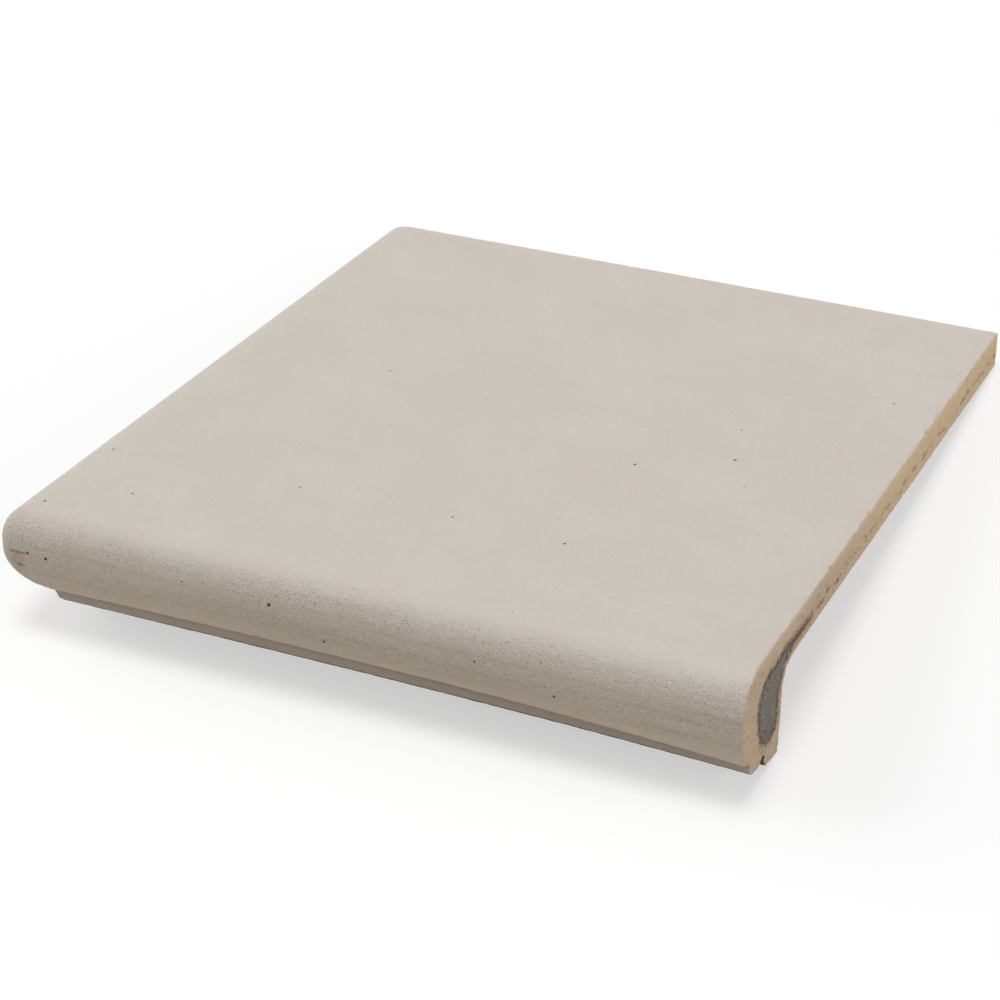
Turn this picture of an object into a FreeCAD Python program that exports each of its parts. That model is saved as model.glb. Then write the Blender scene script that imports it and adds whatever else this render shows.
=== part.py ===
import FreeCAD, Part
import math
import os
import Sketcher

# A fired clay stair nosing tile, one piece: a flat tread slab whose front edge turns down
# into a thick bullnosed lip, with a raw foot and a drip groove under the lip.
# X runs along the stair edge from the tile's left end, Y runs back from the front of the
# nose, and Z runs up from the tread face. The left end is rounded and closed, and the
# right end is cut square.

NODE = "nosing_tile"

# Millimetres. Falls are taken down from the tread face and setbacks back from the front of
# the nose or in from the left end.
SIZES = {
    "tile_width": 300.0,
    "tile_depth": 330.0,
    "slab_thickness": 16.0,
    "edge_land": 1.3,
    "plan_corner_radius": 8.0,
    "nose_height": 51.2,
    "nose_thickness": 43.0,
    "lip_flat": 0.7,
    "lip_curve_radius": 30.0,
    "lip_drop": 16.0,
    "foot_setback": 11.2,
    "ledge_fall": 3.3,
    "foot_wall": 4.6,
    "foot_chamfer": 2.4,
    "foot_bottom_fall": 1.9,
    "front_foot_width": 8.0,
    "groove_depth": 2.2,
    "groove_flank": 1.4,
    "groove_width": 4.0,
    "back_foot_chamfer": 2.6,
    "heel_fall": 1.4,
    "heel_radius": 1.2,
    "inner_fillet": 9.5,
    "end_land": 0.4,
    "end_corner_radius": 17.6,
    "foot_end_step": 0.9,
    "foot_end_slope": 4.0,
    "cut_margin": 2.0,
}

document = FreeCAD.newDocument("stair_nosing_tile")
sheet = document.addObject("Spreadsheet::Sheet", "sizes")
for row, (alias, value) in enumerate(SIZES.items(), start=1):
    sheet.set("A%d" % row, alias)
    sheet.set("B%d" % row, "%g" % value)
    sheet.setAlias("B%d" % row, alias)
document.recompute()


def size(alias):
    return float(sheet.get(alias))


def measure(words):
    """The value of a sum of named sizes, such as 'slab_thickness + inner_fillet'."""
    total = 0.0
    sign = 1.0
    for word in words.split():
        if word in ("+", "-"):
            sign = 1.0 if word == "+" else -1.0
        else:
            total += sign * size(word)
    return total


def bound(words):
    """The same sum as an expression on the sheet's cells."""
    return " ".join(word if word in ("+", "-") else "sizes." + word for word in words.split())


def origin_plane(body, role):
    return [plane for plane in body.Origin.OriginFeatures if plane.Role == role][0]


def flat_sketch(body, role, name):
    sketch = body.newObject("Sketcher::SketchObject", name)
    sketch.AttachmentSupport = [(origin_plane(body, role), "")]
    sketch.MapMode = "FlatFace"
    return sketch


def bind(sketch, name, words, *constraint):
    """Adds a named dimension to a sketch and ties it to a sum of named sizes."""
    index = sketch.addConstraint(Sketcher.Constraint(*constraint, measure(words)))
    sketch.renameConstraint(index, name)
    sketch.setExpression("Constraints." + name, bound(words))


# A sketch's own numbers for the places on a line or an arc, and for its two axes.
START, END, CENTRE = range(1, 4)
HORIZONTAL_AXIS, VERTICAL_AXIS = range(-1, -3, -1)
ORIGIN = (HORIZONTAL_AXIS, START)
TOUCH = 0.01

# The slab's plan, from its back left corner round to its front left one.
PLAN = [
    ("back_left", None, "tile_depth", None),
    ("back_right", "tile_width", "tile_depth", None),
    ("front_right", "tile_width", None, None),
    ("front_left", None, None, None),
]

# The nose's section, from its seat in the slab round the back and the underside to the
# front: the setback and the fall of each corner, and the arc that starts there, as its
# radius and the setback and fall of its centre. A corner on an axis has None there, and
# one whose place is marked as on its arc takes it from the arc that it starts.
BULLNOSE = "slab_thickness - edge_land"
LIP_START = "slab_thickness + lip_flat"
LIP_END = LIP_START + " + lip_drop"
LEDGE = LIP_END + " + ledge_fall"
FOOT_EDGE = LEDGE + " + foot_wall"
FOOT_BOTTOM = FOOT_EDGE + " + foot_chamfer"
FOOT_FRONT = "foot_setback + foot_chamfer"
FOOT_BACK = FOOT_FRONT + " + front_foot_width"
GROOVE_FRONT = FOOT_BACK + " + groove_flank"
GROOVE_BACK = GROOVE_FRONT + " + groove_width"
GROOVE_ROOF = FOOT_BOTTOM + " + foot_bottom_fall - groove_depth"
TOE_FALL = "nose_height - heel_fall"
INNER_CORNER = ("inner_fillet", "nose_thickness + inner_fillet", "slab_thickness + inner_fillet")
HEEL = ("heel_radius", "nose_thickness - heel_radius", "nose_height - heel_radius")
LIP_CURVE = ("lip_curve_radius", "lip_curve_radius", LIP_START)
ON_ARC = ""

SECTION = [
    ("seat_front", None, BULLNOSE, None),
    ("seat_back", "nose_thickness + inner_fillet", BULLNOSE, None),
    ("fillet_back", "nose_thickness + inner_fillet", "slab_thickness", INNER_CORNER),
    ("fillet_front", "nose_thickness", "slab_thickness + inner_fillet", None),
    ("heel_back", "nose_thickness", "nose_height - heel_radius", HEEL),
    ("heel_front", "nose_thickness - heel_radius", "nose_height", None),
    ("toe_bottom", GROOVE_BACK + " + back_foot_chamfer", TOE_FALL, None),
    ("toe_edge", GROOVE_BACK, TOE_FALL + " - back_foot_chamfer", None),
    ("groove_back", GROOVE_BACK, GROOVE_ROOF, None),
    ("groove_front", GROOVE_FRONT, GROOVE_ROOF, None),
    ("foot_back", FOOT_BACK, FOOT_BOTTOM + " + foot_bottom_fall", None),
    ("foot_front", FOOT_FRONT, FOOT_BOTTOM, None),
    ("foot_edge", "foot_setback", FOOT_EDGE, None),
    ("ledge", "foot_setback", LEDGE, None),
    ("lip_end", ON_ARC, LIP_END, LIP_CURVE),
    ("lip_start", None, LIP_START, None),
]

# What is turned away from the tile's front left corner, about an upright line as far in from
# the front as from the left: the corner's round narrows to a point within the bullnose.
BELOW_NOSE = "nose_height + cut_margin"
OUTSIDE = "plan_corner_radius + plan_corner_radius"
CORNER_CURVE = (BULLNOSE, "plan_corner_radius - slab_thickness + edge_land", BULLNOSE)

FRONT_CORNER = [
    ("outside_bottom", OUTSIDE, BELOW_NOSE, None),
    ("outside_top", OUTSIDE, None, None),
    ("point", None, ON_ARC, CORNER_CURVE),
    ("round_top", "plan_corner_radius", BULLNOSE, None),
    ("round_bottom", "plan_corner_radius", BELOW_NOSE, None),
]

# What is cut from the nose's lower left corner, seen from the front: the lip is rounded up
# to the end face, and the foot ends short of the round, on a slope.
ROUND_TOP = BULLNOSE + " + end_land"
ROUND_BOTTOM = ROUND_TOP + " + end_corner_radius"
FOOT_END = "end_corner_radius + foot_end_step"
END_ROUND = ("end_corner_radius", "end_corner_radius", ROUND_TOP)

END_CORNER = [
    ("round_top", None, ROUND_TOP, END_ROUND),
    ("round_bottom", "end_corner_radius", ROUND_BOTTOM, None),
    ("foot_end_top", FOOT_END, ROUND_BOTTOM, None),
    ("foot_end_bottom", FOOT_END + " + foot_end_slope", BELOW_NOSE, None),
    ("below_end", None, BELOW_NOSE, None),
]


def corner_point(setback, rise, arc, upwards):
    if ON_ARC not in (setback, rise):
        across = measure(setback) if setback else 0.0
        return FreeCAD.Vector(across, upwards * measure(rise) if rise else 0.0, 0)
    radius, centre_setback, centre_rise = [measure(words) for words in arc]
    if setback == ON_ARC:
        reach = math.sqrt(radius ** 2 - (measure(rise) - centre_rise) ** 2)
        return FreeCAD.Vector(centre_setback - reach, upwards * measure(rise), 0)
    reach = math.sqrt(radius ** 2 - centre_setback ** 2)
    return FreeCAD.Vector(0.0, upwards * (centre_rise - reach), 0)


def add_arc(sketch, start, end, arc, upwards):
    """Adds the short arc between two corners and tells which of its ends the first is on."""
    radius, setback, rise = [measure(words) for words in arc]
    centre = FreeCAD.Vector(setback, upwards * rise, 0)
    first = math.atan2(start.y - centre.y, start.x - centre.x)
    last = math.atan2(end.y - centre.y, end.x - centre.x)
    turns_left = (last - first) % (2 * math.pi) < math.pi
    circle = Part.Circle(centre, FreeCAD.Vector(0, 0, 1), radius)
    span = (first, last) if turns_left else (last, first)
    sketch.addGeometry(Part.ArcOfCircle(circle, *span), False)
    return START if turns_left else END


def draw_outline(sketch, corners, upwards):
    """Draws a closed outline through the corners and ties every one to the sheet.

    upwards is 1 where the corners' second size is a height, and -1 where it is a fall."""
    points = [corner_point(*corner[1:], upwards) for corner in corners]
    following = points[1:] + points[:1]
    begins = []
    for corner, start, end in zip(corners, points, following):
        if corner[3]:
            begins.append(add_arc(sketch, start, end, corner[3], upwards))
        else:
            sketch.addGeometry(Part.LineSegment(start, end), False)
            begins.append(START)
    for index, begin in enumerate(begins):
        after = (index + 1) % len(corners)
        finish = END if begin == START else START
        joint = Sketcher.Constraint("Coincident", index, finish, after, begins[after])
        sketch.addConstraint(joint)
    for index, (name, setback, rise, arc) in enumerate(corners):
        corner = (index, begins[index])
        low, high = (ORIGIN, corner) if upwards > 0 else (corner, ORIGIN)
        if setback is None:
            sketch.addConstraint(Sketcher.Constraint("PointOnObject", *corner, VERTICAL_AXIS))
        elif setback != ON_ARC:
            bind(sketch, name + "_setback", setback, "DistanceX", *ORIGIN, *corner)
        if rise is None:
            sketch.addConstraint(Sketcher.Constraint("PointOnObject", *corner, HORIZONTAL_AXIS))
        elif rise != ON_ARC:
            bind(sketch, name + "_rise", rise, "DistanceY", *low, *high)
        if arc:
            bind(sketch, name + "_radius", arc[0], "Radius", index)
        if ON_ARC in (setback, rise):
            bind(sketch, name + "_centre_rise", arc[2], "DistanceY", index, CENTRE, *ORIGIN)


def edges_where(shape, test):
    """The names of a shape's edges whose box passes the test."""
    edges = enumerate(shape.Edges, start=1)
    return ["Edge%d" % number for number, edge in edges if test(edge.BoundBox)]


def on_front_or_left(box):
    return box.ZMin > -TOUCH and min(box.XMax, box.YMax) < TOUCH


body = document.addObject("PartDesign::Body", "nosing_tile")
body.Label = NODE

# The tread slab, with its front and left upper edges rounded as one bullnose.
plan = flat_sketch(body, "XY_Plane", "plan")
draw_outline(plan, PLAN, 1)
slab = body.newObject("PartDesign::Pad", "slab")
slab.Profile = plan
slab.Reversed = True
slab.setExpression("Length", bound("slab_thickness"))
document.recompute()

bullnose = body.newObject("PartDesign::Fillet", "bullnose")
bullnose.Base = (slab, edges_where(slab.Shape, on_front_or_left))
bullnose.setExpression("Radius", bound(BULLNOSE))
document.recompute()

# The nose below the bullnose, and the rounding of its left end.
section = flat_sketch(body, "YZ_Plane", "section")
draw_outline(section, SECTION, -1)
nose = body.newObject("PartDesign::Pad", "nose")
nose.Profile = section
nose.setExpression("Length", bound("tile_width"))
document.recompute()

# The sketch faces the other way, so that its setbacks run out to the left of the upright.
front_corner = flat_sketch(body, "XZ_Plane", "front_corner")
front_corner.MapReversed = True
front_corner.setExpression("AttachmentOffset.Base.x", "-sizes.plan_corner_radius")
front_corner.setExpression("AttachmentOffset.Base.z", "sizes.plan_corner_radius")
draw_outline(front_corner, FRONT_CORNER, -1)
corner_round = body.newObject("PartDesign::Groove", "corner_round")
corner_round.Profile = front_corner
corner_round.ReferenceAxis = (front_corner, ["V_Axis"])
corner_round.Angle = math.degrees(math.pi / 2)

end_corner = flat_sketch(body, "XZ_Plane", "end_corner")
draw_outline(end_corner, END_CORNER, -1)
end_cut = body.newObject("PartDesign::Pocket", "end_cut")
end_cut.Profile = end_corner
end_cut.setExpression("Length", bound("nose_thickness + inner_fillet + cut_margin"))

# Unheld, the tile tips back off its nose: it rests on the heel and on the slab's lower back
# edge, with the middle of its box over the origin and the floor at Z = 0.
REACH = "(sizes.tile_depth - sizes.nose_thickness + sizes.heel_radius)"
DROP = "(sizes.nose_height - sizes.heel_radius - sizes.slab_thickness)"
SPAN = "sqrt(%s ^ 2 + %s ^ 2)" % (REACH, DROP)
TILT = "(atan(%s / %s) + asin(sizes.heel_radius / %s))" % (DROP, REACH, SPAN)
FRONT = "(sizes.lip_curve_radius * (cos(%s) - 1) - (%s) * sin(%s))" % (TILT, bound(LIP_START), TILT)
BACK = "(sizes.tile_depth * cos(%s))" % TILT
HEEL_BACK = "(sizes.nose_thickness - sizes.heel_radius) * sin(%s)" % TILT
HEEL_DOWN = "(sizes.nose_height - sizes.heel_radius) * cos(%s)" % TILT
LEAN = FreeCAD.Rotation(FreeCAD.Vector(-1, 0, 0), math.degrees(math.pi / 2))
body.Placement = FreeCAD.Placement(FreeCAD.Vector(), LEAN)
body.setExpression("Placement.Rotation.Angle", TILT)
body.setExpression("Placement.Base.x", "-sizes.tile_width / 2")
body.setExpression("Placement.Base.y", "-(%s + %s) / 2" % (FRONT, BACK))
body.setExpression("Placement.Base.z", "%s + %s + sizes.heel_radius" % (HEEL_BACK, HEEL_DOWN))
document.recompute()

for item in document.Objects:
    if "Invalid" in item.State or "Error" in item.State:
        raise RuntimeError("%s did not recompute: %s" % (item.Name, item.State))
tile = body.Shape
if tile.isNull() or not tile.isValid() or len(tile.Solids) != 1:
    raise RuntimeError("the tile is not one valid solid")

os.makedirs("parts", exist_ok=True)
tile.exportStep("parts/%s.step" % NODE)
box = tile.optimalBoundingBox()
print("%s: %.1f x %.1f x %.1f mm" % (NODE, box.XLength, box.YLength, box.ZLength))
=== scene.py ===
import math

import bmesh
import bpy
import numpy as np
from mathutils import Matrix, Vector, noise


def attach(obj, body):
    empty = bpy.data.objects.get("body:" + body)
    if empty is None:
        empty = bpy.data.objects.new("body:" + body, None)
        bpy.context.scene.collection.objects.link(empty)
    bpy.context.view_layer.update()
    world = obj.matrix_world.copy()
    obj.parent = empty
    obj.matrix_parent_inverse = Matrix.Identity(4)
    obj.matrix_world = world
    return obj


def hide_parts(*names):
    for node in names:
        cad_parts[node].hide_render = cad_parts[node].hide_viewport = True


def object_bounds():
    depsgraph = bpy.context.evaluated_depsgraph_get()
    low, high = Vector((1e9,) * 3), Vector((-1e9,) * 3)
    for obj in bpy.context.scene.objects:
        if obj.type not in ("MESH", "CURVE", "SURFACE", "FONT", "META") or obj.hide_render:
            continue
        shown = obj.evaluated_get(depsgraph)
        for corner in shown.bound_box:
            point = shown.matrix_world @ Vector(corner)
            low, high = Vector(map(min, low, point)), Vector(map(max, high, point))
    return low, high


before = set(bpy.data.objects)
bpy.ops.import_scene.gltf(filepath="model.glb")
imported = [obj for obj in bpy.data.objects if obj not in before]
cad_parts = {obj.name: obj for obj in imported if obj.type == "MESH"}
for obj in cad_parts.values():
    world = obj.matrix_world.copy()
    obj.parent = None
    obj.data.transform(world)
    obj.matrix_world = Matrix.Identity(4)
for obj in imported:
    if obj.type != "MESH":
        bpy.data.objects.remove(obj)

bl_info = {
    "name": "Stair nosing tile",
    "version": (1, 0, 0),
    "blender": (4, 5, 0),
    "location": "3D View > Sidebar > Nosing Tile",
    "description": "Builds a fired clay stair nosing tile and a plain studio round it",
    "category": "Object",
}

# The tile is shaped level, in metres: X from its closed left end, Y back from the front of
# the nose, Z up from the tread face. It is turned down to how it lies when it is finished.
NODE = "nosing_tile"
CAD_LOW, CAD_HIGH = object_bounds()
MILLIMETRE = 0.001


def shade(red, green, blue):
    """A colour as it looks on a screen, 0 to 255, as the plain light that Blender wants."""
    parts = [value / 255 for value in (red, green, blue)]
    return tuple(p / 12.92 if p <= 0.04045 else ((p + 0.055) / 1.055) ** 2.4 for p in parts)


def length(name, description, default):
    """A length that the user sets, given here in millimetres."""
    return bpy.props.FloatProperty(
        name=name, description=description, default=default * MILLIMETRE, unit="LENGTH",
        precision=4)


def colour(name, description, *screen):
    return bpy.props.FloatVectorProperty(
        name=name, description=description, default=shade(*screen), subtype="COLOR", size=3,
        min=0.0, max=1.0)


class NosingTileSizes(bpy.types.PropertyGroup):
    """The tile's sizes. Falls are taken down from the tread face."""

    width: bpy.props.FloatProperty(
        name="Width", description="Along the stair edge", unit="LENGTH",
        default=CAD_HIGH.x - CAD_LOW.x)
    depth: length("Depth", "From the front of the nose to the back edge", 330.0)
    slab: length("Slab thickness", "The tread slab", 16.0)
    bullnose: length("Bullnose radius", "The front and left upper edges", 14.7)
    plan_corner: length("Corner radius", "The front left corner from above", 7.0)
    lip_start: length("Lip curve top", "Where the front starts to curve under", 16.7)
    lip_radius: length("Lip curve radius", "The curve under the front", 30.0)
    lip_end: length("Lip edge fall", "The lower edge of the coated lip", 32.7)
    end_top: length("End rounding top", "Where the left end starts to round under", 18.5)
    end_radius: length("End rounding width", "The nose's lower left corner", 17.6)
    foot_end: length("Foot end", "From the left end to the end of the foot", 17.0)
    foot_slope: length("Foot slope", "How far the foot's end slopes in", 3.5)
    nose_back: length("Nose thickness", "From the front to the upright inner face", 43.0)
    nose_height: length("Nose height", "From the tread face to the heel", 51.2)
    heel: length("Heel radius", "The heel's rounding", 1.2)
    fillet: length("Inner fillet", "Between the nose and the slab's underside", 9.5)
    crown_front: length("Front crown", "How much the nose arches along the stair edge", 0.9)
    crown_back: length("Back crown", "How much the back edge arches", 0.2)
    sag_cut: length("Sag at the cut end", "How far the lip's lower edge hangs there", 3.0)
    sag_closed: length("Sag at the closed end", "How far the lip's lower edge hangs there", 0.9)
    grain: length("Mesh grain", "The size of the cells that the clay is worked in", 0.7)
    triangles: bpy.props.IntProperty(
        name="Triangles", description="About how many the finished tile has", default=150000,
        min=20000, max=190000)


class NosingTileColours(bpy.types.PropertyGroup):
    """The tile's colours."""

    slip: colour("Slip coat", "The matt coat on the tread and nose", 206, 198, 189)
    slip_pale: colour("Pale slip", "Where the coat is thick", 213, 207, 200)
    slip_warm: colour("Warm slip", "Where the clay warms the coat", 200, 190, 178)
    pinhole: colour("Pinhole", "Small holes in the coat", 84, 74, 62)
    foot: colour("Foot", "The bare clay of the foot under the lip", 188, 182, 174)
    clay: colour("Clay", "The bare fired clay", 197, 179, 157)
    clay_pale: colour("Pale clay", "Bare clay just under the coat", 204, 186, 163)
    clay_light: colour("Light clay", "Bare clay along the slab's edge", 214, 190, 155)
    clay_orange: colour("Orange clay", "Bare clay near the underside", 200, 170, 144)
    stain: colour("Stain", "The olive streak at the closed end", 128, 118, 96)
    blush: colour("Blush", "The reddish patch at the closed end", 186, 150, 128)
    clay_grey: colour("Grey clay", "Duller patches of the bare clay", 178, 168, 149)
    core: colour("Core", "The dark reduced heart of the nose", 122, 118, 112)
    core_pale: colour("Pale core", "Paler patches of the heart", 132, 131, 128)
    core_purple: colour("Purple core", "Purplish patches of the heart", 128, 112, 116)
    crack: colour("Crack", "Cracks and pits in the cut end", 66, 52, 40)
    rust: colour("Rust", "Rusty streaks in the cut end", 126, 88, 58)


class Flow:
    """One socket of a material. Sums on values add Math nodes."""

    def __init__(self, socket):
        self.socket = socket

    def _sum(self, operation, *values):
        return add_node(self.socket.id_data, "ShaderNodeMath", {"operation": operation}, *values)

    def __add__(self, other):
        return self._sum("ADD", self, other)

    __radd__ = __add__

    def __sub__(self, other):
        return self._sum("SUBTRACT", self, other)

    def __rsub__(self, other):
        return self._sum("SUBTRACT", other, self)

    def __mul__(self, other):
        return self._sum("MULTIPLY", self, other)

    __rmul__ = __mul__

    def __truediv__(self, other):
        return self._sum("DIVIDE", self, other)

    def root(self):
        return self._sum("SQRT", self)

    def least(self, other):
        return self._sum("MINIMUM", self, other)

    def most(self, other):
        return self._sum("MAXIMUM", self, other)

    def step(self, low, high):
        """0 below low and 1 above high, smooth between. Given high before low it falls."""
        start, end, first, last = (low, high, 0.0, 1.0) if low < high else (high, low, 1.0, 0.0)
        settings = {"interpolation_type": "SMOOTHSTEP"}
        return add_node(self.socket.id_data, "ShaderNodeMapRange", settings, self, start, end,
                        first, last)


def add_node(tree, kind, settings, *values, output=0):
    """Adds a node, makes its settings, fills its sockets and returns one of its outputs.

    A value of None leaves a socket as it is."""
    node = tree.nodes.new(kind)
    for name, value in settings.items():
        setattr(node, name, value)
    sockets = [socket for socket in node.inputs if socket.enabled]
    for socket, value in zip(sockets, values):
        if isinstance(value, Flow):
            tree.links.new(value.socket, socket)
        elif value is not None:
            socket.default_value = value
    outputs = [socket for socket in node.outputs if socket.enabled]
    return Flow(outputs[output] if isinstance(output, int) else node.outputs[output])


class ClayBoard:
    """A material's node tree, with the few patterns that fired clay is drawn from."""

    def __init__(self, name):
        self.material = bpy.data.materials.new(name)
        self.material.use_nodes = True
        self.tree = self.material.node_tree
        self.tree.nodes.clear()

    def node(self, kind, settings, *values, output=0):
        return add_node(self.tree, kind, settings, *values, output=output)

    def noise(self, place, scale, detail=2.0, rough=0.5):
        """Soft random values about one half."""
        return self.node("ShaderNodeTexNoise", {}, place, scale, detail, rough)

    def stretched(self, place, x, y, z):
        return self.node("ShaderNodeVectorMath", {"operation": "MULTIPLY"}, place, (x, y, z))

    def mix(self, mask, under, over):
        """The colour over where the mask is 1, and under where it is 0."""
        under, over = [tint if isinstance(tint, Flow) else (*tint, 1.0) for tint in (under, over)]
        return self.node("ShaderNodeMix", {"data_type": "RGBA"}, mask, under, over)

    def scaled(self, tint, amount):
        """A colour made lighter or darker by an amount."""
        grey = self.node("ShaderNodeCombineColor", {}, amount, amount, amount)
        settings = {"data_type": "RGBA", "blend_type": "MULTIPLY"}
        return self.node("ShaderNodeMix", settings, 1.0, tint, grey)

    def dots(self, place, scale, radius, share):
        """Small round marks at random places: the share of cells that have one."""
        cells = self.node("ShaderNodeTexVoronoi", {}, place, scale)
        node = cells.socket.node
        chance = self.node("ShaderNodeSeparateColor", {}, Flow(node.outputs["Color"]))
        size = chance.step(1.0 - share, 1.0) * (radius * scale)
        gap = (size - Flow(node.outputs["Distance"])) * (1.0 / (0.25 * radius * scale))
        return gap.most(0.0).least(1.0)


def lie_down(sizes):
    """How the level tile is turned and moved to where it lies on its heel and back edge."""
    reach = sizes.depth - sizes.nose_back + sizes.heel
    drop = sizes.nose_height - sizes.heel - sizes.slab
    tilt = math.atan(drop / reach) + math.asin(sizes.heel / math.hypot(reach, drop))
    front = sizes.lip_radius * (math.cos(tilt) - 1) - sizes.lip_start * math.sin(tilt)
    middle = (front + sizes.depth * math.cos(tilt)) / 2
    rise = (sizes.nose_back - sizes.heel) * math.sin(tilt)
    rise += (sizes.nose_height - sizes.heel) * math.cos(tilt) + sizes.heel
    return Matrix.Translation((-sizes.width / 2, -middle, rise)) @ Matrix.Rotation(-tilt, 4, "X")


def arc(centre, radius, first, last, steps, tall=None):
    """Points round part of a circle, or of an oval of another height, between two angles."""
    angles = [math.radians(first + (last - first) * step / steps) for step in range(steps + 1)]
    tall = tall or radius
    return [(centre[0] + radius * math.cos(a), centre[1] + tall * math.sin(a)) for a in angles]


def section_outline(sizes):
    """The tile cut across the stair edge, as (Y, Z), from the tread down the front and back."""
    mm = MILLIMETRE
    under = math.degrees(math.asin((sizes.lip_end - sizes.lip_start) / sizes.lip_radius))
    foot = [(11.2, 36.0), (11.2, 40.6), (13.6, 43.0), (21.6, 44.9), (23.0, 42.7), (27.0, 42.7)]
    toe = [(27.0, 47.2), (29.6, 49.8)]
    points = arc((sizes.bullnose, -sizes.bullnose), sizes.bullnose, 90, 180, 24)
    points += arc((sizes.lip_radius, -sizes.lip_start), sizes.lip_radius, 180, 180 + under, 10)
    points += [(y * mm, -z * mm) for y, z in foot + toe]
    heel = (sizes.nose_back - sizes.heel, sizes.heel - sizes.nose_height)
    points += arc(heel, sizes.heel, 270, 360, 5)
    corner = (sizes.nose_back + sizes.fillet, -sizes.slab - sizes.fillet)
    points += arc(corner, sizes.fillet, 180, 90, 12)
    return points + [(sizes.depth, -sizes.slab), (sizes.depth, 0.0)]


def end_outline(sizes):
    """The tile seen from the front, as (X, Z): its left end, and room at the other sides."""
    spare = sizes.slab
    points = [(sizes.bullnose, spare)]
    points += arc((sizes.bullnose, -sizes.bullnose), sizes.bullnose, 90, 180, 24)
    tall = sizes.lip_end - sizes.end_top
    points += arc((sizes.end_radius, -sizes.end_top), sizes.end_radius, 180, 260, 24, tall)
    slope = [(0.0, 33.0), (0.3, 38.0), (0.7, 41.0), (1.0, 44.0)]
    points += [(sizes.foot_end + share * sizes.foot_slope, -z * MILLIMETRE) for share, z in slope]
    points += [(points[-1][0], -sizes.nose_height - spare)]
    points += [(sizes.width + spare, -sizes.nose_height - spare), (sizes.width + spare, spare)]
    return points


def plan_outline(sizes):
    """The tile seen from above, as (X, Y): its front left corner, and room elsewhere."""
    spare, radius = sizes.slab, sizes.plan_corner
    points = [(-spare, sizes.depth + spare), (-spare, radius)]
    points += arc((radius, radius), radius, 180, 270, 16)
    points += [(radius, -spare), (sizes.width + spare, -spare)]
    return points + [(sizes.width + spare, sizes.depth + spare)]


def deselect():
    if bpy.context.object and bpy.context.object.mode != "OBJECT":
        bpy.ops.object.mode_set(mode="OBJECT")
    bpy.ops.object.select_all(action="DESELECT")


def block_from_outline(name, outline, place, pull):
    """A solid made by tracing an outline and pulling it straight to its length.

    place turns a point of the outline into a place in space."""
    deselect()
    bpy.ops.mesh.primitive_circle_add(vertices=len(outline), radius=1.0, fill_type="NGON")
    block = bpy.context.object
    block.name = name
    bpy.ops.object.mode_set(mode="EDIT")
    mesh = bmesh.from_edit_mesh(block.data)
    for vertex, point in zip(mesh.verts, outline):
        vertex.co = place(*point)
    bmesh.update_edit_mesh(block.data)
    bpy.ops.mesh.select_all(action="SELECT")
    bpy.ops.mesh.extrude_region_move(TRANSFORM_OT_translate={"value": pull})
    bpy.ops.mesh.select_all(action="SELECT")
    bpy.ops.mesh.normals_make_consistent(inside=False)
    bpy.ops.object.mode_set(mode="OBJECT")
    return block


def keep_shared(block, other):
    """Cuts a block down to what it shares with another, and removes the other."""
    deselect()
    block.select_set(True)
    bpy.context.view_layer.objects.active = block
    shared = block.modifiers.new("shared", "BOOLEAN")
    shared.operation = "INTERSECT"
    shared.solver = "EXACT"
    shared.object = other
    bpy.ops.object.modifier_apply(modifier=shared.name)
    bpy.data.meshes.remove(other.data)


def apply_modifier(block, name, kind, **settings):
    modifier = block.modifiers.new(name, kind)
    for key, value in settings.items():
        setattr(modifier, key, value)
    bpy.context.view_layer.objects.active = block
    bpy.ops.object.modifier_apply(modifier=modifier.name)


def ramp(values, low, high):
    """0 below low and 1 above high, smooth between."""
    t = np.clip((values - low) / (high - low), 0.0, 1.0)
    return t * t * (3 - 2 * t)


def clay_noise(points, size, seed):
    """Soft random values from -1 to 1, with features of about the given size."""
    shift = Vector((seed * 17.3, seed * 5.1, seed * 11.7))
    return np.array([noise.noise(Vector(point) / size + shift) for point in points])


def setback(fall, sizes):
    """How far the front face and the left end lie back from the nose's outermost lines, at a
    fall below the tread."""
    top = sizes.bullnose - np.sqrt(
        np.maximum(0.0, sizes.bullnose ** 2 - np.maximum(0.0, sizes.bullnose - fall) ** 2))
    curve = np.clip(fall - sizes.lip_start, 0.0, sizes.lip_end - sizes.lip_start)
    front = top + sizes.lip_radius - np.sqrt(sizes.lip_radius ** 2 - curve ** 2)
    share = np.clip((fall - sizes.end_top) / (sizes.lip_end - sizes.end_top), 0.0, 1.0)
    left = top + sizes.end_radius * (1 - np.sqrt(1 - share ** 2))
    return front, left, top


def round_corner(x, y, z, sizes):
    """Rounds the nose's front left corner at every height, less and less towards the tread."""
    front, left, top = setback(-z, sizes)
    radius = np.maximum(sizes.plan_corner - top, 0.2 * MILLIMETRE)
    in_x, in_y = left + radius - x, front + radius - y
    away = np.hypot(in_x, in_y)
    corner = (in_x > 0) & (in_y > 0) & (away > radius) & (-z < sizes.lip_end + MILLIMETRE)
    pull = 1 - radius[corner] / away[corner]
    x[corner] += in_x[corner] * pull
    y[corner] += in_y[corner] * pull


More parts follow.
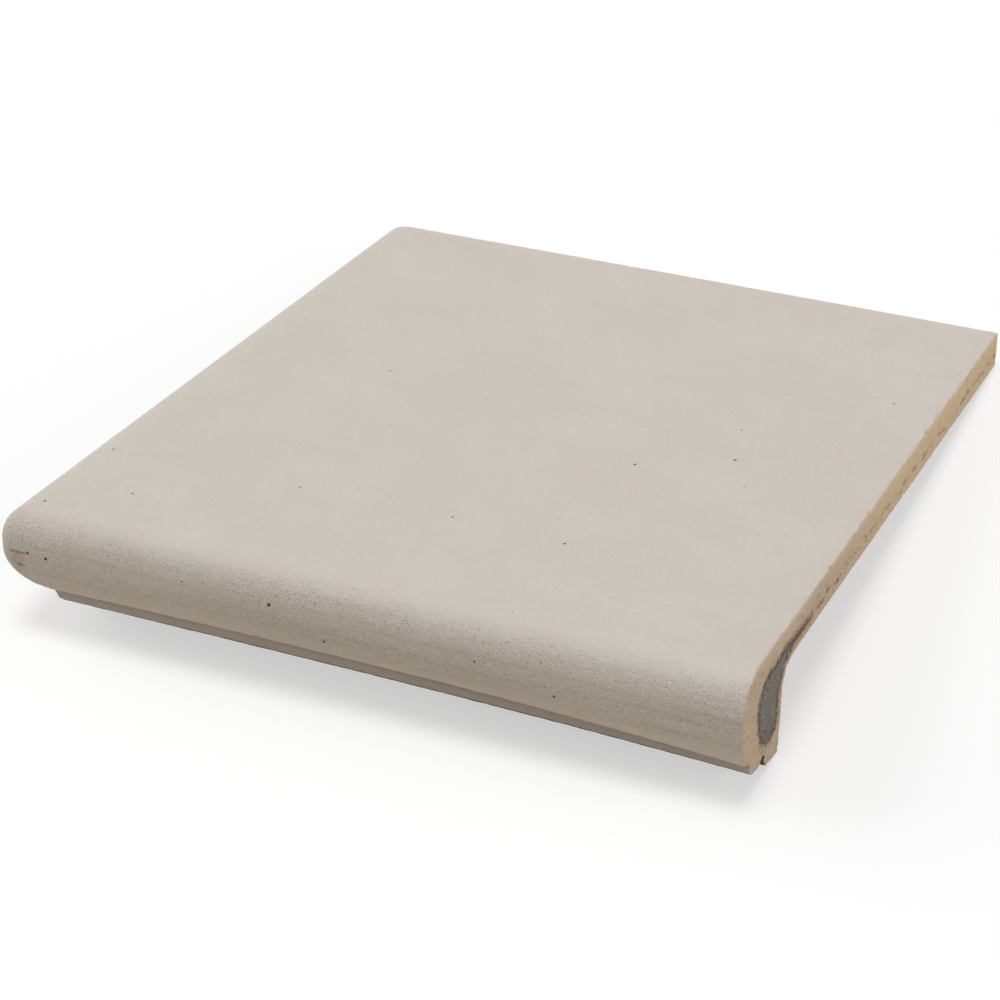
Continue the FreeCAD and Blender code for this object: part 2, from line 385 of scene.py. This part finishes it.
def work_clay(block, sizes):
    """Arches the tile slightly along the stair edge, lets the lip's lower edge sag towards its
    ends, roughens the bare faces and wears and chips the arrises. Nothing leaves the tile's box."""
    count = len(block.data.vertices)
    flat = np.empty(count * 3, dtype=np.float32)
    block.data.vertices.foreach_get("co", flat)
    place = flat.reshape(-1, 3).astype(float)
    x, y, z = place.T
    mm = MILLIMETRE
    round_corner(x, y, z, sizes)

    # Chips along the upper arris of the cut end and of the back edge.
    from_cut, from_back, fall = sizes.width - x, sizes.depth - y, -z
    near_cut = np.flatnonzero((from_cut < 4 * mm) & (fall < 4 * mm))
    coarse = clay_noise(place[near_cut], 7 * mm, 1)
    fine = clay_noise(place[near_cut], 1.8 * mm, 2)
    bite = np.maximum(0.0, coarse * 0.9 + fine * 0.9 - 0.35) * 0.5 * mm + 0.1 * mm
    reach = np.maximum(0.0, 1 - np.hypot(from_cut[near_cut], fall[near_cut]) / (2.6 * mm))
    x[near_cut] -= bite * reach
    z[near_cut] -= bite * reach * 0.8
    near_back = np.flatnonzero((from_back < 3 * mm) & (fall < 3 * mm))
    fine = clay_noise(place[near_back], 3 * mm, 3)
    reach = np.maximum(0.0, 1 - np.hypot(from_back[near_back], fall[near_back]) / (2 * mm))
    bite = (0.12 + np.maximum(0.0, fine) * 0.2) * mm
    y[near_back] -= bite * reach
    z[near_back] -= bite * reach * 0.7

    # The cut end is rough all over, and pitted.
    cut = np.flatnonzero(sizes.width - x < 0.3 * mm)
    rough = np.abs(clay_noise(place[cut], 1.6 * mm, 4)) * 0.3
    rough += np.maximum(0.0, clay_noise(place[cut], 3.1 * mm, 5) - 0.35) * 1.6
    x[cut] -= rough * mm

    # The lip's lower edge and the bare foot are uneven.
    foot = np.flatnonzero((z < -sizes.lip_end + 1.5 * mm) & (y < sizes.nose_back - 2 * mm))
    uneven = clay_noise(place[foot], 5 * mm, 6) * 0.16 + clay_noise(place[foot], 1.7 * mm, 7) * 0.1
    z[foot] += np.maximum(-0.1, uneven + 0.1) * mm

    # The lip's lower edge sags towards both ends, and the foot a little at the cut end.
    off = (x - 0.55 * sizes.width) / (0.45 * sizes.width)
    sag = np.where(off > 0, sizes.sag_cut, sizes.sag_closed) * off ** 2
    share = np.interp(-z, [sizes.lip_start, sizes.lip_end, 43 * mm], [0.0, 1.0, 0.0])
    share += np.interp(-z, [sizes.lip_end, 43 * mm, 50 * mm], [0.0, 0.4, 0.0]) * (off > 0)
    z -= sag * share * np.interp(y, [22 * mm, 30 * mm], [1.0, 0.0])

    # The tread is drawn down a little where the clay sank as it dried.
    tread = np.flatnonzero(z > -0.5 * mm)
    z[tread] -= (clay_noise(place[tread], 46 * mm, 8) + 1) * 0.05 * mm

    # The arch, highest at the middle. The foot and the back edge still touch the floor.
    across = (x - sizes.width / 2) / (sizes.width / 2)
    along = y / sizes.depth
    crown = sizes.crown_front * (1 - along) + sizes.crown_back * along
    blend = ramp(y, sizes.nose_back, sizes.nose_back + 2 * sizes.fillet)
    underside = -sizes.nose_height * (1 - blend) - sizes.slab * blend
    height = np.clip(1 - z / underside, 0.0, 1.0)
    z += crown * (1 - across ** 2) - crown * height

    np.clip(x, 0.0, sizes.width, out=x)
    np.clip(y, 0.0, sizes.depth, out=y)
    np.clip(z, -sizes.nose_height, 0.0, out=z)
    block.data.vertices.foreach_set("co", np.stack([x, y, z], 1).astype(np.float32).ravel())
    block.data.update()


def level_place(board, sizes):
    """A point's place on the level tile, in millimetres, and its X, Y and Z."""
    level = lie_down(sizes).inverted()
    spot = board.node("ShaderNodeTexCoord", {}, output="Object")
    thousand = 1.0 / MILLIMETRE
    place = board.node("ShaderNodeMapping", {"vector_type": "POINT"}, spot,
                       level.translation * thousand, level.to_euler(), (thousand,) * 3)
    axes = board.node("ShaderNodeSeparateXYZ", {}, place).socket.node
    return place, [Flow(socket) for socket in axes.outputs]


def bare_clay(board, place, tints):
    """The colour and the relief of tan fired clay, with its grit."""
    body = board.noise(place, 0.12, 3.0, 0.6)
    clay = board.mix(body.step(0.35, 0.75), tints.clay, tints.clay_orange)
    blotches = board.noise(place, 0.33, 3.0, 0.65)
    clay = board.mix(blotches.step(0.5, 0.68) * 0.7, clay, tints.clay_grey)
    grit = board.noise(place, 1.1, 3.0, 0.75)
    clay = board.scaled(clay, 0.65 + 0.7 * grit)
    specks = board.dots(place, 0.62, 0.5, 0.3)
    return board.mix(specks * 0.6, clay, tints.crack), grit * 0.3 + body * 0.2 - specks * 0.3


def finish_skin(board, tint, relief, roughness):
    bump = board.node("ShaderNodeBump", {}, 1.0, MILLIMETRE, None, relief)
    skin = board.node("ShaderNodeBsdfPrincipled", {}).socket.node
    board.tree.links.new(tint.socket, skin.inputs["Base Color"])
    board.tree.links.new(roughness.socket, skin.inputs["Roughness"])
    board.tree.links.new(bump.socket, skin.inputs["Normal"])
    skin.inputs["Specular IOR Level"].default_value = 0.3
    output = board.tree.nodes.new("ShaderNodeOutputMaterial")
    board.tree.links.new(skin.outputs["BSDF"], output.inputs["Surface"])
    return board.material


def slip_material(sizes, tints):
    """The matt slip coat on the tread and the nose, and the bare clay under and behind it."""
    board = ClayBoard("slip_coat")
    place, (x, y, z) = level_place(board, sizes)
    thousand = 1.0 / MILLIMETRE
    lip_end, nose_back = sizes.lip_end * thousand, sizes.nose_back * thousand
    slab, depth = sizes.slab * thousand, sizes.depth * thousand

    # The coat: soft mottling, faint lines along the nose, sand, pinholes and pits.
    front = z.step(-2.0, -14.0) * y.step(18.0, 6.0)
    cloud = board.noise(place, 0.02, 3.0, 0.6)
    coat = board.mix(cloud.step(0.4, 0.7) * 0.35, tints.slip, tints.slip_pale)
    lines = board.noise(board.stretched(place, 0.012, 0.12, 0.5), 1.0, 3.0, 0.6).step(0.45, 0.75)
    coat = board.mix(lines * (0.15 + 0.5 * front), coat, tints.slip_warm)
    sand = board.noise(place, 1.0, 2.0, 0.65) - 0.5
    tone_and_painted_shade = front * lines * 0.06
    coat = board.scaled(coat, 1.0 + sand * (0.12 + 0.3 * front) - tone_and_painted_shade)
    # On the nose's rounding, where the light grazes, the dark and pale grains and the small
    # pinholes are painted stronger: partly the sand's own colour, partly painted shade and painted
    # highlight of its relief.
    grazing_light_band = z.step(-1.0, -9.0) * z.step(-31.0, -20.0)
    grains = board.noise(place, 1.5, 2.0, 0.8)
    coat = board.mix(grains.step(0.36, 0.22) * (0.06 + 0.3 * grazing_light_band), coat, tints.pinhole)
    coat = board.mix(board.dots(place, 1.15, 0.33, 0.3) * (0.1 + 0.55 * grazing_light_band), coat, tints.pinhole)
    sand_place = board.stretched(place, 1.0, 0.9, 0.95)
    pale_grains = grains.step(0.6, 0.76).most(board.dots(sand_place, 1.0, 0.36, 0.4))
    coat = board.mix(pale_grains * (0.08 + 0.5 * grazing_light_band), coat, (0.95, 0.93, 0.89))

    # Scattered pinholes, then the bigger ones: on the tread by their place across and back,
    # and on the nose by their place across and up, each with its width.
    pinholes = board.dots(place, 0.1, 0.55, 0.12).most(board.dots(place, 0.22, 0.42, 0.4) * 0.6)
    on_tread = [(15.0, 13.0, 1.0), (42.0, 32.0, 0.7), (15.0, 62.0, 0.7), (160.0, 67.0, 0.7),
                (206.0, 66.0, 0.8), (205.0, 139.0, 0.9), (239.0, 160.0, 1.0), (232.0, 187.0, 0.6),
                (97.0, 64.0, 0.6)]
    on_nose = [(14.4, -17.3, 0.8), (22.4, -17.9, 1.0), (81.5, -13.4, 0.5), (117.8, -14.3, 1.0),
               (139.5, -24.8, 0.8), (230.1, -23.8, 0.7), (199.9, -17.0, 0.6)]
    away = None
    pits = [(y, *pit) for pit in on_tread] + [(z, *pit) for pit in on_nose]
    for line, across, along, wide in pits:
        off_x, off_line = x - across, line - along
        near = (off_x * off_x + off_line * off_line) * (1.0 / wide ** 2)
        away = near if away is None else away.least(near)
    coat = board.mix(pinholes * 0.85, coat, tints.pinhole)
    pits = away.step(0.6, 0.2) * (front + z.step(-1.2, -0.6)).least(1.0)
    coat = board.mix(pits, coat, tints.crack)

    # Stains at the closed end: across from the left end, down, length, height and strength.
    waver = board.noise(place, 0.4, 3.0, 0.6) - 0.5
    stains = [(9.6, 17.8, 4.4, 0.8, 0.65, tints.stain), (9.6, 21.3, 3.2, 3.0, 0.4, tints.blush),
              (10.4, 23.4, 2.8, 0.5, 0.8, tints.blush), (10.1, 23.3, 0.6, 0.4, 0.9, tints.crack)]
    for across, down, long, high, strength, tint in stains:
        off_x, off_z = (x - across) / long, (z + down) / high
        spot = (off_x * off_x + off_z * off_z + waver * 1.6).step(1.2, 0.5) * y.step(14.0, 12.0)
        coat = board.mix(spot * strength, coat, tint)

    # A thin pale line where the coat ends at the lip, which arches and sags along the nose, with
    # paler coat just above it: partly the coat's own bead, partly a painted highlight along the
    # lip's lower edge.
    width = sizes.width * thousand
    off = x * (2.0 / width) - 1.0
    level = z - (1.0 - off * off) * (sizes.crown_front * thousand)
    off = (x - 0.55 * width) * (1.0 / (0.45 * width))
    cut, closed = off.most(0.0), off.least(0.0)
    sag = cut * cut * (sizes.sag_cut * thousand) + closed * closed * (sizes.sag_closed * thousand)
    edge = level + sag + waver * 1.2
    level = level + sag * 0.4
    # Painted highlight, together with the coat's bead, paling towards the lip's lower edge.
    bead_and_highlight = edge.step(-lip_end + 7.0, -lip_end + 0.6)
    coat = board.mix(bead_and_highlight * 0.3, coat, tints.slip_pale)

    # The clay is bare on the foot, behind the nose, under the slab and on the back edge.
    clay, rough = bare_clay(board, place, tints)
    raw = board.scaled(board.mix(0.9, clay, tints.foot), 1.0 + sand * 0.3)
    # Painted shade: the bare clay is darkened in the recess just under the lip, and on the foot's
    # lower chamfer and everything below it. The foot is also a little darker towards the cut end.
    recess_shade = level.step(-38.5, -36.5) * y.step(16.0, 12.0)
    tone_and_painted_shade = recess_shade * 0.22 + level.step(-40.9, -41.9) * 0.7 + x.step(120.0, 260.0) * 0.07
    raw = board.scaled(raw, 1.0 - tone_and_painted_shade)
    clay = board.mix(y.step(40.0, 30.0), clay, raw)
    foot = edge.step(-lip_end + 0.5, -lip_end - 0.1)
    inner = (z + waver * 0.6).step(-slab + 1.1, -slab + 0.5) * y.step(nose_back - 2, nose_back - 1)
    bare = foot.most(inner).most(y.step(depth - 0.8, depth - 0.4))

    rise = sand * 0.42 + (grains + pale_grains * 0.25) * (0.28 + 0.5 * grazing_light_band)
    rise = rise - pinholes.most(pits) * 0.5
    relief = rise + bare * (rough - rise)
    return finish_skin(board, board.mix(bare, coat, clay), relief, 0.72 + 0.16 * bare)


def cut_material(sizes, tints):
    """The cut end: tan clay, paler under the tread and warmer below, round a dark core."""
    board = ClayBoard("cut_clay")
    place, (_, y, z) = level_place(board, sizes)
    clay, rough = bare_clay(board, place, tints)
    crumbs = board.noise(place, 0.45, 4.0, 0.7)
    clay = board.mix(z.step(-8.0, -1.0) * 0.75, clay, tints.clay_pale)
    behind = y.step(60.0, 190.0)
    clay = board.scaled(board.mix(behind * 0.6, clay, tints.clay_light), 1.0 + behind * 0.08)
    arris = z.step(-1.4, -0.3) * crumbs.step(0.5, 0.62)
    clay = board.mix(arris * 0.5, clay, tints.crack)

    # The core, drawn as tapered drops up the nose and into the slab.
    drops = [((31.0, -32.4), 7.6, (28.2, -28.0), 10.0), ((28.2, -28.0), 10.0, (27.0, -20.7), 11.0),
             ((27.0, -20.7), 11.0, (42.6, -11.8), 3.2), ((42.6, -11.8), 3.4, (52.0, -10.5), 1.4),
             ((52.0, -10.5), 1.4, (72.0, -10.6), 0.2)]
    gap = None
    for (y0, z0), r0, (y1, z1), r1 in drops:
        run = math.hypot(y1 - y0, z1 - z0)
        along = (y - y0) * ((y1 - y0) / run ** 2) + (z - z0) * ((z1 - z0) / run ** 2)
        along = along.most(0.0).least(1.0)
        off_y = y - y0 - along * (y1 - y0)
        off_z = z - z0 - along * (z1 - z0)
        away = (off_y * off_y + off_z * off_z).root() - r0 - along * (r1 - r0)
        gap = away if gap is None else gap.least(away)
    bottom = z.step(-30.0, -37.0)
    gap = gap + (crumbs - 0.5) * (8.0 + 7.0 * bottom) * y.step(80.0, 20.0)
    core = gap.step(0.7, -0.6)
    rim = gap.step(-3.6, -0.6)
    fringe = gap.step(3.0, 0.6) * gap.step(-2.6, -0.4)
    patches = board.noise(place, 0.16, 3.0, 0.6)
    heart = board.mix(patches.step(0.5, 0.66) * 0.9, tints.core, tints.core_purple)
    sparkle = board.noise(place, 1.15, 2.0, 0.75)
    heart = board.mix(patches.step(0.48, 0.38) * 0.6, heart, tints.core_pale)
    heart = board.mix(bottom * 0.6, heart, tints.core_purple)
    heart = board.scaled(heart, (sparkle * 3.4 - 0.7).most(0.35) * (1.0 - rim * 0.2))
    black = board.dots(place, 0.8, 0.55, 0.6) * (0.15 + 0.8 * rim.most(bottom))
    heart = board.mix(black, heart, tints.crack)
    face = board.mix(gap.step(3.0, 0.6) * 0.55, clay, tints.clay_orange)
    face = board.mix(core, face, heart)
    face = board.mix(fringe * sparkle.step(0.45, 0.58) * 0.9, face, tints.crack)

    # Rusty cracks along the middle of the slab.
    wander = z + 10.2 + (patches - 0.5) * 6.0
    streak = (wander * wander).step(3.4, 0.2) * y.step(44.0, 56.0)
    broken = board.noise(board.stretched(place, 1.0, 0.14, 0.6), 1.0, 3.0, 0.7).step(0.5, 0.62)
    face = board.mix(streak * broken * (0.8 - 0.35 * y.step(110.0, 200.0)), face, tints.rust)
    relief = rough + (crumbs - 0.5) * 0.5 - streak * broken * 0.3
    return finish_skin(board, face, relief, 0.86 + 0.06 * crumbs)


def mark_cut_faces(tile, sizes):
    """Gives the faces of the cut end the second material."""
    edge = sizes.width - 2.5 * MILLIMETRE
    for face in tile.data.polygons:
        face.material_index = int(face.normal.x > 0.5 and face.center.x > edge)


class NOSING_OT_tile(bpy.types.Operator):
    """Build the fired clay nosing tile and lay it down"""

    bl_idname = "nosing.tile"
    bl_label = "Nosing Tile"

    def execute(self, context):
        sizes = context.scene.nosing_sizes
        tile = block_from_outline(
            "tile", section_outline(sizes), lambda y, z: (0.0, y, z), (sizes.width, 0.0, 0.0))
        end = block_from_outline(
            "end", end_outline(sizes), lambda x, z: (x, -sizes.slab, z),
            (0.0, sizes.depth + 2 * sizes.slab, 0.0))
        keep_shared(tile, end)
        plan = block_from_outline(
            "plan", plan_outline(sizes), lambda x, y: (x, y, -sizes.nose_height - sizes.slab),
            (0.0, 0.0, sizes.nose_height + 2 * sizes.slab))
        keep_shared(tile, plan)
        if len(tile.data.polygons) < 20:
            raise RuntimeError("the tile's three outlines share no solid")
        apply_modifier(tile, "grain", "REMESH", mode="VOXEL", voxel_size=sizes.grain)
        work_clay(tile, sizes)
        share = sizes.triangles / (2 * len(tile.data.polygons))
        apply_modifier(tile, "thin", "DECIMATE", ratio=min(1.0, share))
        tints = context.scene.nosing_colours
        tile.data.materials.clear()
        tile.data.materials.append(slip_material(sizes, tints))
        tile.data.materials.append(cut_material(sizes, tints))
        mark_cut_faces(tile, sizes)
        tile.data.transform(lie_down(sizes))
        self.keep_in_box(tile)
        deselect()
        tile.select_set(True)
        bpy.ops.object.shade_smooth()
        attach(tile, "root")
        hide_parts(NODE)
        return {"FINISHED"}

    def keep_in_box(self, tile):
        """Presses the worked clay back where it passes the tile's own box."""
        for vertex in tile.data.vertices:
            for axis in range(3):
                place = max(vertex.co[axis], CAD_LOW[axis])
                vertex.co[axis] = min(place, CAD_HIGH[axis])


class NOSING_OT_stage(bpy.types.Operator):
    """Set the pale floor, the soft lights and the camera"""

    bl_idname = "nosing.stage"
    bl_label = "Studio"

    def execute(self, context):
        deselect()
        bpy.ops.mesh.primitive_circle_add(vertices=96, radius=6.0, fill_type="NGON")
        floor = context.object
        floor.name = "floor"
        board = ClayBoard("pale_floor")
        seen = self.straight_view(board.tree)
        tint = board.mix(seen, (0.62, 0.55, 0.445), (1.0, 1.0, 1.0))
        paint = board.node("ShaderNodeBsdfDiffuse", {}, tint)
        white = board.node("ShaderNodeEmission", {}, (1.0, 1.0, 1.0, 1.0), 1.0)
        cover = board.node("ShaderNodeMixShader", {}, seen * 0.55, paint, white)
        output = board.tree.nodes.new("ShaderNodeOutputMaterial")
        board.tree.links.new(cover.socket, output.inputs["Surface"])
        floor.data.materials.append(board.material)

        self.add_sun("key", 1.45, 24.0, (math.radians(5.0), 0.0, 0.0))
        self.add_sun("right", 1.0, 50.0, (0.0, math.radians(76.0), 0.0))
        self.add_sun("left", 1.2, 50.0, (0.0, math.radians(-62.0), 0.0))
        self.add_world(context.scene, 0.29)
        self.add_camera(context.scene)
        context.scene.view_settings.view_transform = "Standard"
        return {"FINISHED"}

    def add_sun(self, name, strength, spread, turn):
        bpy.ops.object.light_add(type="SUN", rotation=turn, location=(0.0, 0.0, 2.0))
        sun = bpy.context.object
        sun.name = name
        sun.data.energy = strength
        sun.data.angle = math.radians(spread)

    def straight_view(self, tree):
        """1 for rays that come from the camera, straight or by a mirror or through glass."""
        rays = add_node(tree, "ShaderNodeLightPath", {}).socket.node
        seen = Flow(rays.outputs["Is Camera Ray"])
        for name in ("Is Glossy Ray", "Is Transmission Ray"):
            seen = seen.most(Flow(rays.outputs[name]))
        return seen

    def add_world(self, scene, strength):
        """An even dim light from all round, which the camera sees as white."""
        world = bpy.data.worlds.new("studio")
        world.use_nodes = True
        scene.world = world
        tree = world.node_tree
        tree.nodes.clear()
        seen = self.straight_view(tree)
        sky = add_node(tree, "ShaderNodeBackground", {}, (1.0, 1.0, 1.0, 1.0),
                       seen * (1.0 - strength) + strength)
        output = tree.nodes.new("ShaderNodeOutputWorld")
        tree.links.new(sky.socket, output.inputs["Surface"])

    def add_camera(self, scene):
        """The camera, from its direction and distance to a point of the level tile."""
        sizes = scene.nosing_sizes
        azimuth, elevation, roll = [math.radians(angle) for angle in (24.12, 27.05, 0.87)]
        distance, aim = 1.1097, Vector((sizes.width / 2 - 0.0228, sizes.depth / 2, -0.0452))
        back = Vector((math.sin(azimuth) * math.cos(elevation),
                       -math.cos(azimuth) * math.cos(elevation), math.sin(elevation)))
        right = (-back).cross(Vector((0.0, 0.0, 1.0))).normalized()
        up = right.cross(-back)
        level_right = math.cos(roll) * right + math.sin(roll) * up
        level_up = math.cos(roll) * up - math.sin(roll) * right
        stand = Matrix((level_right, level_up, back)).transposed().to_4x4()
        stand.translation = aim + back * distance
        data = bpy.data.cameras.new("camera")
        camera = bpy.data.objects.new("camera", data)
        scene.collection.objects.link(camera)
        camera.matrix_world = lie_down(sizes) @ stand
        data.sensor_width = 36.0
        data.lens = 36.0 * 2.661
        data.shift_x = 0.02
        data.clip_start, data.clip_end = 0.05, 50.0
        scene.camera = camera


class NOSING_PT_panel(bpy.types.Panel):
    """The tile's steps and sizes in the 3D view's sidebar"""

    bl_idname = "NOSING_PT_panel"
    bl_label = "Nosing Tile"
    bl_space_type = "VIEW_3D"
    bl_region_type = "UI"
    bl_category = "Nosing Tile"

    def draw(self, context):
        for kind in STEPS:
            self.layout.operator(kind.bl_idname)
        for group in (context.scene.nosing_sizes, context.scene.nosing_colours):
            box = self.layout.box()
            for name in group.__annotations__:
                box.prop(group, name)


STEPS = (NOSING_OT_tile, NOSING_OT_stage)
CLASSES = (NosingTileSizes, NosingTileColours, *STEPS, NOSING_PT_panel)


def register():
    for kind in CLASSES:
        bpy.utils.register_class(kind)
    bpy.types.Scene.nosing_sizes = bpy.props.PointerProperty(type=NosingTileSizes)
    bpy.types.Scene.nosing_colours = bpy.props.PointerProperty(type=NosingTileColours)


def unregister():
    del bpy.types.Scene.nosing_sizes
    del bpy.types.Scene.nosing_colours
    for kind in reversed(CLASSES):
        bpy.utils.unregister_class(kind)


def main():
    register()
    bpy.ops.nosing.tile()
    bpy.ops.nosing.stage()


if __name__ == "__main__":
    main()
